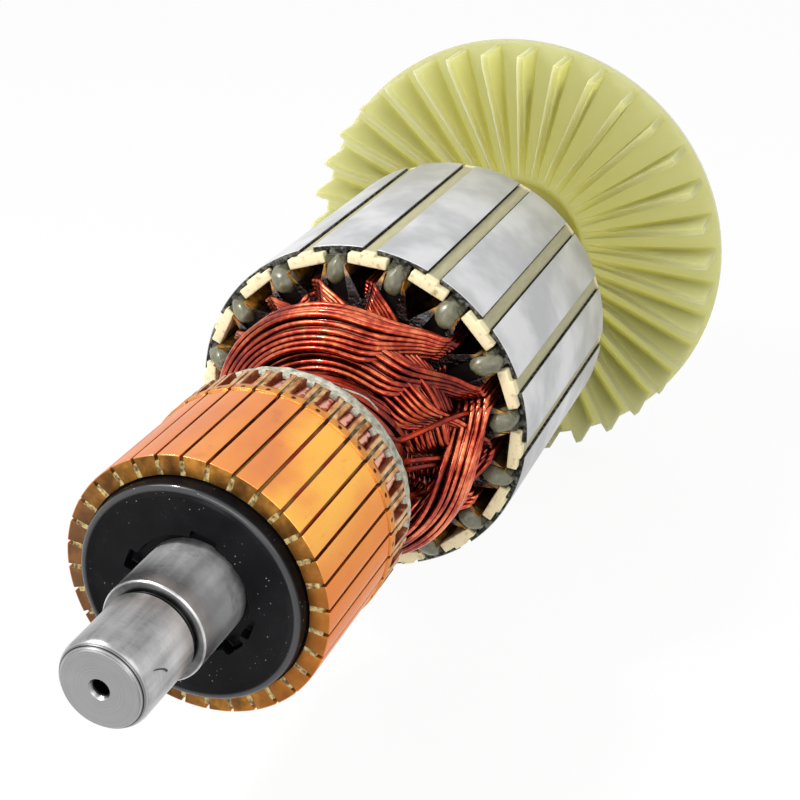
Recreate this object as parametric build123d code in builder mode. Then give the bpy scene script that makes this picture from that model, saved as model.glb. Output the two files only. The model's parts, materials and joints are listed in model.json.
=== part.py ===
"""Armature of a hand-held universal motor, lying along +X with +Z up, in millimetres.

The origin is the middle of the commutator-end bearing seat, on the shaft's axis. X runs from the
commutator end to the drive end. Angles round the shaft turn about +X, with 0 pointing up.
"""

import os
from math import acos, cos, degrees, radians, tan

from build123d import *

os.makedirs("parts", exist_ok=True)

# Shaft, from the commutator end to the drive end
seat_diameter = 12.0
seat_length = 10.0
seat_lead = 1.3
end_chamfer = 0.9
relief_width = 0.9
relief_depth = 0.45
collar_diameter = 14.0
drive_shoulder_diameter = 19.0
drive_shoulder_length = 2.4
drive_seat_diameter = 17.0
drive_seat_length = 13.0
drive_seat_chamfer = 0.5
pinion_seat_diameter = 12.0
pinion_seat_length = 13.5
pinion_key_width = 4.0
pinion_key_depth = 2.2
pinion_key_length = 9.0
pinion_key_from_seat = 2.5
thread_diameter = 8.0
thread_length = 13.5
thread_chamfer = 0.8
centre_hole_diameter = 2.0
centre_hole_depth = 3.5

# Where the groups stand along the shaft
collar_showing = 10.65
front_winding_space = 28.35
rear_winding_space = 25.9

# Commutator: copper bars, mica between them, black moulded hub
bar_count = 32
commutator_phase = 3.5
brush_track_diameter = 36.74
brush_track_length = 19.85
bar_face_depth = 2.75
riser_diameter = 37.3
riser_length = 6.35
riser_slot_width = 1.1
riser_slot_depth = 3.25
riser_slot_runout = 1.3
riser_slot_start = 0.6
riser_face_depth = 3.65
bar_root_diameter = 22.8
bar_root_reach = 1.4
bar_neck_inset = 3.2
mica_thickness = 0.7
mica_undercut = 0.8
mica_riser_undercut = 0.15
mica_root_clearance = 0.02
hub_face_ahead = 1.65
hub_bead_height = 0.35
hub_bead_width = 0.9
hub_to_bar_gap = 0.2
hub_groove_depth = 0.5
hub_recess_diameter = 16.4
hub_recess_depth = 1.8
hub_notch_count = 4
hub_notch_width = 3.4
hub_notch_depth = 1.0
hub_notch_phase = 20.0

# Insulating sleeve between the shaft and the core
sleeve_diameter = 18.4
sleeve_behind_riser = 0.3
sleeve_before_fan = 1.4

# Laminated core
core_diameter = 54.0
core_length = 46.0
slot_count = 16
slot_phase = 4.05
tooth_width = 3.0
slot_mouth_width = 2.4
slot_lip = 0.9
slot_floor_diameter = 28.4

# Coating on the core's ends, slot liners and slot wedges
end_plate_thickness = 1.4
end_plate_setback = 0.8
tooth_pad_height = 0.9
tooth_pad_length = 4.4
tooth_pad_setback = 1.2
tooth_pad_width = 3.0
liner_thickness = 0.3
liner_reach = 2.1
wedge_head_width = 6.2
wedge_head_thickness = 1.6
wedge_head_clearance = 0.05
wedge_stem_clearance = 0.05
wedge_stem_setback = 0.5
wedge_reach = 1.3

# Coils: each spans seven slots and lies in one of eight layers with its opposite number
layer_count = 8
coil_span = 7
layer_thickness = 1.65
layer_gap = 0.05
layer_slope = 0.65
layer_sides = 6
layer_start = 2.2
strand_width = 3.2
strand_clearance = 0.1
strand_bends = 1
inner_leg_bottom = 15.0
inner_leg_height = 2.6
inner_leg_width = 2.2
leg_gap = 0.3
outer_leg_height = 2.8
outer_leg_width = 3.3
first_start_slot = 2

# Wire ends from the risers, and the resin-soaked cord that binds them
lead_wire_diameter = 0.85
lead_in_riser = 4.2
lead_floor_clearance = 0.05
lead_drop = 2.9
lead_run = 3.0
band_width = 3.35
band_diameter = 36.0

# Moulded fan
blade_count = 36
fan_phase = 3.9
fan_diameter = 82.2
blade_tip_diameter = 80.6
blade_root_diameter = 29.0
blade_lead_out = 2.0
blade_thickness = 1.3
blade_height = 9.5
fan_disc_thickness = 1.6
fan_hub_diameter = 27.0
fan_hub_length = 15.0
fan_hub_ahead = 1.5

# Places along X that follow from the lengths
front_end_x = -(seat_lead + seat_length / 2)
seat_end_x = seat_length / 2
collar_x = seat_end_x + relief_width
bar_front_x = collar_x + collar_showing
riser_x = bar_front_x + brush_track_length
riser_end_x = riser_x + riser_length
core_front_x = riser_end_x + front_winding_space
core_rear_x = core_front_x + core_length
core_middle_x = (core_front_x + core_rear_x) / 2
blade_front_x = core_rear_x + rear_winding_space
fan_disc_x = blade_front_x + blade_height
fan_back_x = fan_disc_x + fan_disc_thickness
fan_hub_x = blade_front_x - fan_hub_ahead
fan_hub_end_x = fan_hub_x + fan_hub_length
drive_shoulder_x = fan_hub_end_x
drive_seat_x = drive_shoulder_x + drive_shoulder_length
pinion_seat_x = drive_seat_x + drive_seat_length
thread_x = pinion_seat_x + pinion_seat_length
drive_end_x = thread_x + thread_length
sleeve_front_x = riser_end_x + sleeve_behind_riser
sleeve_rear_x = fan_hub_x - sleeve_before_fan

# Radii that several pieces share
seat_radius = seat_diameter / 2
collar_radius = collar_diameter / 2
track_radius = brush_track_diameter / 2
riser_radius = riser_diameter / 2
sleeve_radius = sleeve_diameter / 2
core_radius = core_diameter / 2
slot_floor_radius = slot_floor_diameter / 2
lip_radius = core_radius - slot_lip
slot_pitch = 360 / slot_count
bar_pitch = 360 / bar_count
half_tooth = tooth_width / 2
up = 90


def slot_half_width(radius):
    """Half the clear width between two parallel-sided teeth at a radius."""
    half_pitch = radians(slot_pitch / 2)
    return radius * tan(half_pitch) - half_tooth / cos(half_pitch)


def slot_outline(top_radius, inset=0.0):
    """A slot's section from its floor out to a radius, drawn along +X, kept in from the walls."""
    wall = inset / cos(radians(slot_pitch / 2))
    floor = slot_floor_radius + inset
    floor_half = slot_half_width(floor) - wall
    top_half = slot_half_width(top_radius) - wall
    return [
        (floor, floor_half),
        (top_radius, top_half),
        (top_radius, -top_half),
        (floor, -floor_half),
    ]


def radial_plane(angle):
    """The plane through the shaft's axis at an angle round it, with its own y pointing outwards."""
    return Plane.XZ.rotated((angle, 0, 0))


def faceted_ring(outline, sides, turn):
    """A ring round the shaft of flat faces, its outline's radii taken at the middles of its sides."""
    pitch = 360 / sides
    stretch = 1 / cos(radians(pitch / 2))
    corners = [Vector(x, 0, radius * stretch).rotate(Axis.X, turn - pitch / 2) for x, radius in outline]
    faces = []
    for first, second in zip(corners, corners[1:] + corners[:1]):
        for side in range(sides):
            edge = [first.rotate(Axis.X, pitch * side), second.rotate(Axis.X, pitch * side)]
            next_edge = [point.rotate(Axis.X, pitch) for point in edge]
            faces.append(Face(Wire.make_polygon([*edge, *next_edge[::-1]])))
    return Solid(Shell(faces))


def write(part, label):
    """Label a finished piece and save it as its own file."""
    part.label = label
    export_step(part, f"parts/{label}.step")


# Turned shaft with a relief groove behind the first seat and a key seat for the pinion
with BuildPart() as shaft:
    with BuildSketch(Plane.XZ):
        with BuildLine():
            Polyline(
                (front_end_x, 0),
                (front_end_x, seat_radius - end_chamfer),
                (front_end_x + end_chamfer, seat_radius),
                (seat_end_x, seat_radius),
                (seat_end_x, seat_radius - relief_depth),
                (collar_x, seat_radius - relief_depth),
                (collar_x, collar_radius),
                (drive_shoulder_x, collar_radius),
                (drive_shoulder_x, drive_shoulder_diameter / 2),
                (drive_seat_x, drive_shoulder_diameter / 2),
                (drive_seat_x, drive_seat_diameter / 2),
                (pinion_seat_x - drive_seat_chamfer, drive_seat_diameter / 2),
                (pinion_seat_x, drive_seat_diameter / 2 - drive_seat_chamfer),
                (pinion_seat_x, pinion_seat_diameter / 2),
                (thread_x, pinion_seat_diameter / 2),
                (thread_x, thread_diameter / 2),
                (drive_end_x - thread_chamfer, thread_diameter / 2),
                (drive_end_x, thread_diameter / 2 - thread_chamfer),
                (drive_end_x, 0),
                close=True,
            )
        make_face()
    revolve(axis=Axis.X)
    with Locations(Plane.YZ.offset(drive_end_x)):
        Hole(centre_hole_diameter / 2, centre_hole_depth)
    with Locations(Plane.YZ.offset(front_end_x + centre_hole_depth)):
        Hole(centre_hole_diameter / 2, centre_hole_depth)
    key_middle_x = pinion_seat_x + pinion_key_from_seat + pinion_key_length / 2
    with BuildSketch(Plane.XY.offset(pinion_seat_diameter / 2)):
        with Locations((key_middle_x, 0)):
            SlotOverall(pinion_key_length, pinion_key_width)
    extrude(amount=-pinion_key_depth, mode=Mode.SUBTRACT)
write(shaft.part, "shaft")

# Plastic sleeve that keeps the core and the coils off the steel
with BuildPart() as shaft_sleeve:
    with BuildSketch(Plane.YZ.offset(sleeve_front_x)):
        Circle(sleeve_radius)
        Circle(collar_radius, mode=Mode.SUBTRACT)
    extrude(amount=sleeve_rear_x - sleeve_front_x)
write(shaft_sleeve.part, "shaft_sleeve")

# Dovetailed root of a commutator bar, as the flat faces that the moulding grips
root_radius = bar_root_diameter / 2
face_radius = track_radius - bar_face_depth
riser_face_radius = riser_radius - riser_face_depth
front_neck_x = bar_front_x + bar_neck_inset
rear_neck_x = riser_end_x - bar_neck_inset
front_root_x = front_neck_x - bar_root_reach
rear_root_x = rear_neck_x + bar_root_reach
flat_to_corner = 1 / cos(radians(bar_pitch / 2))


def root_outline(stretch=1.0, clearance=0.0):
    """The root's outline from the riser's end to the bar's front, its radii stretched."""
    return [
        (riser_end_x, riser_face_radius * stretch),
        (rear_neck_x - clearance, riser_face_radius * stretch),
        (rear_root_x - clearance, root_radius * stretch),
        (front_root_x + clearance, root_radius * stretch),
        (front_neck_x + clearance, face_radius * stretch),
        (bar_front_x, face_radius * stretch),
    ]


# One hard-drawn copper bar: flanks parallel to the mica, and a saw slot for the wires in its riser
slot_bottom_radius = riser_radius - riser_slot_depth
with BuildPart() as bar:
    with BuildSketch(radial_plane(-bar_pitch / 2)):
        Polygon(
            (bar_front_x, collar_radius),
            (bar_front_x, track_radius),
            (riser_x, track_radius),
            (riser_x, riser_radius),
            (riser_end_x, riser_radius),
            (riser_end_x, collar_radius),
            align=None,
        )
    revolve(axis=Axis.X, revolution_arc=bar_pitch)
    with BuildSketch(Plane.XZ):
        Polygon((bar_front_x, 0), (riser_end_x, 0), *root_outline(), align=None)
    extrude(amount=riser_radius, both=True, mode=Mode.SUBTRACT)
    split(bisect_by=radial_plane(-bar_pitch / 2).offset(mica_thickness / 2), keep=Keep.TOP)
    split(bisect_by=radial_plane(bar_pitch / 2).offset(-mica_thickness / 2), keep=Keep.BOTTOM)
    with BuildSketch(Plane.XZ):
        Polygon(
            (riser_x + riser_slot_start, riser_radius + riser_slot_runout),
            (riser_x + riser_slot_start + riser_slot_runout, slot_bottom_radius),
            (riser_end_x + riser_slot_runout, slot_bottom_radius),
            (riser_end_x + riser_slot_runout, riser_radius + riser_slot_runout),
            align=None,
        )
    extrude(amount=riser_slot_width / 2, both=True, mode=Mode.SUBTRACT)

for number in range(bar_count):
    with BuildPart() as placed_bar:
        add(bar.part, rotation=(commutator_phase + bar_pitch * number, 0, 0))
    write(placed_bar.part, f"commutator_bar_{number + 1:02d}")

# Mica between the bars, undercut below the brush track and left high between the risers
with BuildPart() as mica:
    with BuildSketch(Plane.XZ):
        Polygon(
            (bar_front_x, track_radius - mica_undercut),
            (riser_x + riser_slot_start, track_radius - mica_undercut),
            (riser_x + riser_slot_start, riser_radius - mica_riser_undercut),
            (riser_end_x, riser_radius - mica_riser_undercut),
            *root_outline(flat_to_corner, mica_root_clearance),
            align=None,
        )
    extrude(amount=mica_thickness / 2, both=True)
with BuildPart() as mica_segments:
    for number in range(bar_count):
        add(mica.part, rotation=(commutator_phase + bar_pitch * (number + 0.5), 0, 0))
write(mica_segments.part, "mica_segments")


# Black moulded hub: flat front disc with a raised bead, a keyed recess round the shaft
hub_face_x = bar_front_x - hub_face_ahead
recess_floor_x = hub_face_x + hub_recess_depth
groove_floor_x = bar_front_x + hub_groove_depth
recess_radius = hub_recess_diameter / 2
bead_outer = face_radius - hub_to_bar_gap
with BuildPart() as commutator_hub:
    with BuildSketch(Plane.XZ):
        Polygon(
            (recess_floor_x, collar_radius),
            (recess_floor_x, recess_radius),
            (hub_face_x, recess_radius),
            (hub_face_x, bead_outer - hub_bead_width),
            (hub_face_x - hub_bead_height, bead_outer),
            (groove_floor_x, bead_outer),
            (groove_floor_x, collar_radius),
            align=None,
        )
    revolve(axis=Axis.X)
    grip_outline = [
        (groove_floor_x, seat_radius),
        (riser_end_x, seat_radius),
        *root_outline()[:-1],
        (groove_floor_x, face_radius),
    ]
    add(faceted_ring(grip_outline, bar_count, commutator_phase))
    with BuildSketch(Plane.YZ.offset(groove_floor_x)):
        Circle(collar_radius)
    extrude(amount=riser_end_x - groove_floor_x, mode=Mode.SUBTRACT)
    with BuildSketch(Plane.YZ.offset(recess_floor_x)):
        with PolarLocations(recess_radius, hub_notch_count, start_angle=up + hub_notch_phase):
            Rectangle(2 * hub_notch_depth, hub_notch_width)
    extrude(amount=-hub_recess_depth, mode=Mode.SUBTRACT)
write(commutator_hub.part, "commutator_hub")

# Stack of silicon-steel laminations, pressed on the sleeve and ground on the outside
with BuildPart() as core_laminations:
    with BuildSketch(Plane.YZ.offset(core_front_x)):
        Circle(core_radius)
        Circle(sleeve_radius, mode=Mode.SUBTRACT)
        with PolarLocations(0, slot_count, start_angle=up + slot_phase):
            Polygon(*slot_outline(lip_radius), align=None, mode=Mode.SUBTRACT)
        with PolarLocations(core_radius, slot_count, start_angle=up + slot_phase):
            Rectangle(4 * slot_lip, slot_mouth_width, mode=Mode.SUBTRACT)
    extrude(amount=core_length)
write(core_laminations.part, "core_laminations")

# Coated end plate that covers the teeth, thicker in the middle of each tooth
plate_radius = core_radius - end_plate_setback
with BuildPart() as end_plate:
    with BuildSketch(Plane.YZ):
        turn = up + slot_phase
        RegularPolygon(plate_radius, slot_count, rotation=turn)
        RegularPolygon(
            sleeve_radius, slot_count, major_radius=False, rotation=turn, mode=Mode.SUBTRACT
        )
        with PolarLocations(0, slot_count, start_angle=turn):
            Polygon(*slot_outline(core_radius), align=None, mode=Mode.SUBTRACT)
    extrude(amount=-end_plate_thickness)
    pad_radius = core_radius - tooth_pad_setback - tooth_pad_length / 2
    pad_angle = up + slot_phase + slot_pitch / 2
    with BuildSketch(Plane.YZ.offset(-end_plate_thickness)):
        with PolarLocations(pad_radius, slot_count, start_angle=pad_angle):
            Rectangle(tooth_pad_length, tooth_pad_width)
    extrude(amount=-tooth_pad_height)
with BuildPart() as end_insulator_front:
    with Locations((core_front_x, 0, 0)):
        add(end_plate.part)
write(end_insulator_front.part, "end_insulator_front")
with BuildPart() as end_insulator_rear:
    with Locations((-core_rear_x, 0, 0)):
        add(end_plate.part)
    mirror(about=Plane.YZ, mode=Mode.REPLACE)
write(end_insulator_rear.part, "end_insulator_rear")

# Wedges that close the slots: a flat head under the tooth lips and a stem in the slot mouth
wedge_top = lip_radius - wedge_head_clearance
wedge_bottom = wedge_top - wedge_head_thickness
stem_top = core_radius - wedge_stem_setback
with BuildPart() as slot_wedges:
    with BuildSketch(Plane.YZ.offset(core_front_x - wedge_reach)):
        with PolarLocations((wedge_top + wedge_bottom) / 2, slot_count, start_angle=up + slot_phase):
            Rectangle(wedge_head_thickness, wedge_head_width)
        with PolarLocations((wedge_bottom + stem_top) / 2, slot_count, start_angle=up + slot_phase):
            Rectangle(stem_top - wedge_bottom, slot_mouth_width - 2 * wedge_stem_clearance)
    extrude(amount=core_length + 2 * wedge_reach)
write(slot_wedges.part, "slot_wedges")

# Paper liners that follow the slot walls and stand out at both ends
liner_top = wedge_bottom - wedge_head_clearance
with BuildPart() as slot_liners:
    with BuildSketch(Plane.YZ.offset(core_front_x - liner_reach)):
        with PolarLocations(0, slot_count, start_angle=up + slot_phase):
            Polygon(*slot_outline(liner_top), align=None)
            Polygon(*slot_outline(core_radius, liner_thickness), align=None, mode=Mode.SUBTRACT)
    extrude(amount=core_length + 2 * liner_reach)
write(slot_liners.part, "slot_liners")


# Each coil's end turn is a flat strand that leaves one slot, hugs the sleeve and enters another
winding_radius = inner_leg_bottom + inner_leg_height + leg_gap + outer_leg_height
strand_radius = sleeve_radius + strand_clearance + strand_width / 2
inner_leg_radius = inner_leg_bottom + inner_leg_height / 2
outer_leg_radius = winding_radius - outer_leg_height / 2
span_angle = coil_span * slot_pitch


def strand_outline(start_radius, finish_radius):
    """A strand's outline across the shaft: straight runs, each a tangent to a circle round the sleeve."""
    leave = degrees(acos(strand_radius / start_radius))
    arrive = degrees(acos(strand_radius / finish_radius))
    bend = (span_angle - leave - arrive) / strand_bends
    edges = []
    for side in (-strand_width / 2, strand_width / 2):
        corner = Vector((strand_radius + side) / cos(radians(bend / 2)), 0)
        first = Vector(start_radius, 0) + Vector(side, 0).rotate(Axis.Z, leave)
        last = Vector(finish_radius, 0) + Vector(side, 0).rotate(Axis.Z, -arrive)
        corners = [corner.rotate(Axis.Z, leave + bend * (k + 0.5)) for k in range(strand_bends)]
        edges.append([first, *corners, last.rotate(Axis.Z, span_angle)])
    return edges[0] + edges[1][::-1]


def layer_top(level, radius):
    """A point of a layer's boundary, which rises in front of the core and towards the shaft."""
    rise = layer_slope * (winding_radius - radius) * (level + 1) / layer_count
    return (core_front_x - layer_start - level * layer_thickness - rise, radius)


def winding_under(level, turn):
    """The space from the core's middle to a layer's boundary at the commutator end."""
    front = [layer_top(level, collar_radius), layer_top(level, core_radius)]
    back = [(core_middle_x, core_radius), (core_middle_x, collar_radius)]
    return faceted_ring([*front, *back], layer_sides, turn)


def make_coil(layer, start_leg, finish_leg, turn):
    """A whole coil: two legs through the slots and a strand at each end of the core."""
    with BuildPart() as coil:
        with BuildSketch(Plane.YZ):
            Polygon(*strand_outline(start_leg[0], finish_leg[0]), rotation=up, align=None)
        extrude(amount=core_front_x)
        add(winding_under(layer, turn), mode=Mode.SUBTRACT)
        with BuildSketch(Plane.YZ):
            for (radius, height, width), angle in ((start_leg, 0), (finish_leg, span_angle)):
                with PolarLocations(radius, 1, start_angle=up + angle):
                    Rectangle(height, width)
        extrude(amount=core_middle_x)
        add(winding_under(layer + 1 - layer_gap, turn), mode=Mode.INTERSECT)
        mirror(about=Plane.YZ.offset(core_middle_x))
    return coil.part


inner_leg = (inner_leg_radius, inner_leg_height, inner_leg_width)
outer_leg = (outer_leg_radius, outer_leg_height, outer_leg_width)
for layer in range(layer_count):
    start_leg = inner_leg if layer == 0 else outer_leg
    finish_leg = outer_leg if layer == layer_count - 1 else inner_leg
    start_angle = slot_pitch * (first_start_slot - layer)
    coil_part = make_coil(layer, start_leg, finish_leg, -start_angle)
    for opposite in (0, 1):
        with BuildPart() as coil:
            add(coil_part, rotation=(slot_phase + start_angle + 180 * opposite, 0, 0))
        write(coil.part, f"coil_{2 * layer + opposite + 1:02d}")

# Wire ends, two to a riser, laid in its slot and led back under the binding
lead_radius = slot_bottom_radius + lead_floor_clearance + lead_wire_diameter
lead_top = lead_radius + lead_wire_diameter
with BuildPart() as lead_pair:
    with BuildSketch(Plane.XZ):
        with BuildLine():
            Polyline(
                (riser_end_x - lead_in_riser, lead_radius),
                (riser_end_x + band_width, lead_radius),
                (riser_end_x + band_width + lead_run, lead_radius - lead_drop),
            )
        trace(line_width=2 * lead_wire_diameter)
    extrude(amount=lead_wire_diameter / 2, both=True)
with BuildPart() as coil_leads:
    for number in range(bar_count):
        add(lead_pair.part, rotation=(commutator_phase + bar_pitch * number, 0, 0))
write(coil_leads.part, "coil_leads")

# Ring of resin-soaked cord that binds the wire ends behind the risers
with BuildPart() as lead_band:
    with BuildSketch(Plane.YZ.offset(riser_end_x)):
        turn = up + commutator_phase
        RegularPolygon(band_diameter / 2, bar_count, rotation=turn)
        turn = turn + bar_pitch / 2
        RegularPolygon(lead_top, bar_count, major_radius=False, rotation=turn, mode=Mode.SUBTRACT)
    extrude(amount=band_width)
write(lead_band.part, "lead_band")

# Moulded nylon fan: a back disc on a hub, with straight radial blades facing the core
fan_radius = fan_diameter / 2
tip_radius = blade_tip_diameter / 2
blade_root_radius = blade_root_diameter / 2
with BuildPart() as blade:
    with BuildSketch(Plane.XZ):
        Polygon(
            (fan_disc_x, blade_root_radius),
            (blade_front_x, tip_radius - blade_lead_out),
            (blade_front_x, tip_radius),
            (fan_disc_x, tip_radius),
            align=None,
        )
    extrude(amount=blade_thickness / 2, both=True)
with BuildPart() as fan:
    with BuildSketch(Plane.XZ):
        Polygon(
            (fan_hub_x, collar_radius),
            (fan_hub_x, fan_hub_diameter / 2),
            (fan_disc_x, fan_hub_diameter / 2),
            (fan_disc_x, fan_radius),
            (fan_back_x, fan_radius),
            (fan_back_x, fan_hub_diameter / 2),
            (fan_hub_end_x, fan_hub_diameter / 2),
            (fan_hub_end_x, collar_radius),
            align=None,
        )
    revolve(axis=Axis.X)
    for number in range(blade_count):
        add(blade.part, rotation=(fan_phase + 360 / blade_count * number, 0, 0))
write(fan.part, "fan")
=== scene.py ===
import json
from itertools import product
from math import acos, atan2, cos, degrees, pi, radians, sin
from random import Random

import bmesh
import bpy
from mathutils import Matrix, Vector, noise

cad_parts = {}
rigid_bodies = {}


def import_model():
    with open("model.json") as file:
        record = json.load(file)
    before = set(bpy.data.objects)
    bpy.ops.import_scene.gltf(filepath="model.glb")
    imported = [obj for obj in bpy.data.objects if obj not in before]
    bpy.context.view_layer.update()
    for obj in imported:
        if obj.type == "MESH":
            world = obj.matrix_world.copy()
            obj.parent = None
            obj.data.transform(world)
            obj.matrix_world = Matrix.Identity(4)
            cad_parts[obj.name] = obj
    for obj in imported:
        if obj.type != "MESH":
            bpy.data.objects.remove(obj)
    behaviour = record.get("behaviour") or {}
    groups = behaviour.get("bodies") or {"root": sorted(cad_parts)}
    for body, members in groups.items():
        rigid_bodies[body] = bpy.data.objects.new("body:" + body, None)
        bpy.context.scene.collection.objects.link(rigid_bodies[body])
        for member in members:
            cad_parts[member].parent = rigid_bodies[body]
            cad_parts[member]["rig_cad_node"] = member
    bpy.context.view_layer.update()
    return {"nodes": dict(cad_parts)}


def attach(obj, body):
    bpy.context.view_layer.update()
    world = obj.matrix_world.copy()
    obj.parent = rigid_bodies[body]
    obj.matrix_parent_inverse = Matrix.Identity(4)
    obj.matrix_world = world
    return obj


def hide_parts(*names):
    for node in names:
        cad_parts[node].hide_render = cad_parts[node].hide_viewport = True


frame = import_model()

# Shaft: one length of steel bar, turned between centres and ground on its bearing seats.
# It carries every other piece. A relief groove ends the front seat, and the drive end has a
# key seat for the pinion and a thread for the nut that clamps it.
MM = 0.001
# The outline as (x, radius) in millimetres, from the front centre hole round to the rear one.
SHAFT_STEPS = [
    (-2.8, 0.0), (-3.4, 1.0), (-5.65, 1.0), (-6.3, 1.42), (-6.3, 5.02), (-6.22, 5.12),
    (-5.72, 5.6), (-5.62, 5.54), (-5.5, 5.68), (-5.3, 5.84), (-5.0, 5.95), (-4.7, 6.0),
    (4.95, 6.0), (5.05, 5.93), (5.1, 5.62), (5.36, 5.6), (5.42, 5.8), (5.54, 5.82), (5.6, 5.56),
    (5.9, 5.55), (5.9, 6.72), (5.98, 6.88), (6.15, 7.0),
    (156.5, 7.0), (156.5, 9.35), (156.65, 9.5), (158.75, 9.5), (158.9, 9.35), (158.9, 8.5),
    (171.4, 8.5), (171.9, 8.0), (171.9, 6.0), (185.25, 6.0), (185.4, 5.85), (185.4, 3.4),
    (197.9, 3.4), (198.9, 2.9), (198.9, 1.42), (198.25, 1.0), (196.0, 1.0), (195.4, 0.0),
]
POLISHED_TO = 13.0
BRIGHT_FROM = 150.0
KEY_SEAT = {"from": 174.4, "to": 183.4, "width": 4.0, "floor": 3.8}
THREAD = {"from": 185.4, "to": 198.1, "pitch": 1.25, "root": 3.35, "crest": 3.98}
SHADOW = (0.012, 0.012, 0.012)


class Signal:
    """One output of a shader node. Sums, products and powers of signals add the Math nodes."""

    def __init__(self, tree, socket):
        self.tree = tree
        self.socket = socket

    def math(self, operation, *others):
        node = self.tree.nodes.new("ShaderNodeMath")
        node.operation = operation
        for place, value in enumerate((self, *others)):
            feed(self.tree, node.inputs[place], value)
        return Signal(self.tree, node.outputs[0])

    def __add__(self, other):
        return self.math("ADD", other)

    def __mul__(self, other):
        return self.math("MULTIPLY", other)

    def __sub__(self, other):
        return self.math("SUBTRACT", other)

    def __rsub__(self, other):
        return (self * -1) + other

    def __truediv__(self, other):
        return self.math("DIVIDE", other)

    def __pow__(self, other):
        return self.math("POWER", other)

    __radd__ = __add__
    __rmul__ = __mul__


def feed(tree, socket, value):
    """Gives a socket a signal, a colour or a plain number."""
    if isinstance(value, Signal):
        tree.links.new(value.socket, socket)
    elif isinstance(value, tuple) and socket.type == "RGBA":
        socket.default_value = (*value, 1.0)
    else:
        socket.default_value = value


class Finish:
    """A surface finish: a Principled shader, with what varies over the surface worked out by nodes."""

    def __init__(self, name, **constants):
        self.material = bpy.data.materials.new(name)
        self.material.use_nodes = True
        self.tree = self.material.node_tree
        self.shader = self.tree.nodes["Principled BSDF"]
        self.place = self.node("ShaderNodeTexCoord", output="Object")
        parts = self.node("ShaderNodeSeparateXYZ", {}, {"Vector": self.place}, output="X")
        outputs = parts.socket.node.outputs
        self.x, self.y, self.z = (Signal(self.tree, outputs[axis]) for axis in "XYZ")
        self.set(**constants)

    def node(self, kind, settings=None, sockets=None, output=0):
        """Adds a node: its settings first, then the values or links of its sockets."""
        made = self.tree.nodes.new(kind)
        for setting, value in (settings or {}).items():
            if setting == "stops":
                ramp = made.color_ramp
                while len(ramp.elements) < len(value):
                    ramp.elements.new(0.5)
                for element, (position, colour) in zip(ramp.elements, value):
                    element.position = position
                    element.color = (*colour, 1.0)
            else:
                setattr(made, setting, value)
        for socket, value in (sockets or {}).items():
            feed(self.tree, made.inputs[socket], value)
        return Signal(self.tree, made.outputs[output])

    def set(self, **sockets):
        """Sets the shader's sockets, named with underscores for their spaces."""
        for socket, value in sockets.items():
            feed(self.tree, self.shader.inputs[socket.replace("_", " ")], value)

    def noise(self, scale, detail=3.0, stretch=(1, 1, 1), roughness=0.55):
        """Even noise over the object, from 0 to 1, stretched along the axes."""
        where = self.node("ShaderNodeMapping", {}, {"Vector": self.place, "Scale": stretch})
        sockets = {"Vector": where, "Scale": scale, "Detail": detail, "Roughness": roughness}
        return self.node("ShaderNodeTexNoise", {}, sockets, output="Fac")

    def specks(self, scale, size):
        """Small round specks, 1 inside each and 0 outside."""
        sockets = {"Vector": self.place, "Scale": scale}
        cells = self.node("ShaderNodeTexVoronoi", {}, sockets, output="Distance")
        return self.step(cells, size, size * 0.6)

    def step(self, value, low, high):
        """A soft step from 0 at low to 1 at high."""
        settings = {"interpolation_type": "SMOOTHSTEP"}
        sockets = {"Value": value, "From Min": low, "From Max": high}
        return self.node("ShaderNodeMapRange", settings, sockets)

    def past(self, place, low, high):
        """A soft step from 0 to 1 between two places or distances in millimetres."""
        return self.step(place, low * MM, high * MM)

    def between(self, place, rise, fall):
        """1 between two soft steps, each given by its start and its end in millimetres."""
        return self.past(place, *rise) * (1 - self.past(place, *fall))

    def blend(self, share, first, second):
        """Mixes two colours by a share."""
        sockets = {0: share, 6: first, 7: second}
        return self.node("ShaderNodeMix", {"data_type": "RGBA"}, sockets, output=2)

    def ramp(self, value, *stops):
        """Runs through colours as a value rises, by stops of a place and a colour."""
        return self.node("ShaderNodeValToRGB", {"stops": stops}, {0: value})

    def openness(self, reach):
        """0 deep in a crevice and 1 in the open, felt out as far as a reach in millimetres."""
        sockets = {"Distance": reach * MM}
        return self.node("ShaderNodeAmbientOcclusion", {"samples": 6}, sockets, output="AO")

    def bump(self, height, strength, distance):
        """Feeds the shader's normal from a height, with the distance in millimetres."""
        sockets = {"Height": height, "Strength": strength, "Distance": distance * MM}
        self.set(Normal=self.node("ShaderNodeBump", {}, sockets))

    def radius(self):
        """Distance from the shaft's axis."""
        return (self.y * self.y + self.z * self.z).math("SQRT")

    def turn(self, start):
        """Degrees round the shaft from a start, which is itself counted from the top."""
        return (self.y * -1).math("ARCTAN2", self.z) * degrees(1) - start


def alone(piece):
    """Selects only this piece and makes it active."""
    bpy.ops.object.select_all(action="DESELECT")
    piece.select_set(True)
    bpy.context.view_layer.objects.active = piece


def placed(name, data):
    """Puts a new object in the scene."""
    thing = bpy.data.objects.new(name, data)
    bpy.context.scene.collection.objects.link(thing)
    return thing


def finished(piece, name, finish, replaced, smooth=35):
    """Names a piece, gives it its finish and seats it on the armature in place of its CAD nodes."""
    alone(piece)
    bpy.ops.object.transform_apply(location=True, rotation=True, scale=True)
    bpy.ops.object.shade_smooth_by_angle(angle=radians(smooth))
    piece.name = name
    piece.data.name = name
    piece.data.materials.clear()
    piece.data.materials.append(finish.material)
    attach(piece, "root")
    if replaced:
        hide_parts(*replaced)


def joined(piece, *others):
    """Makes other pieces part of this one."""
    alone(piece)
    for other in others:
        other.select_set(True)
    bpy.ops.object.join()


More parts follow.
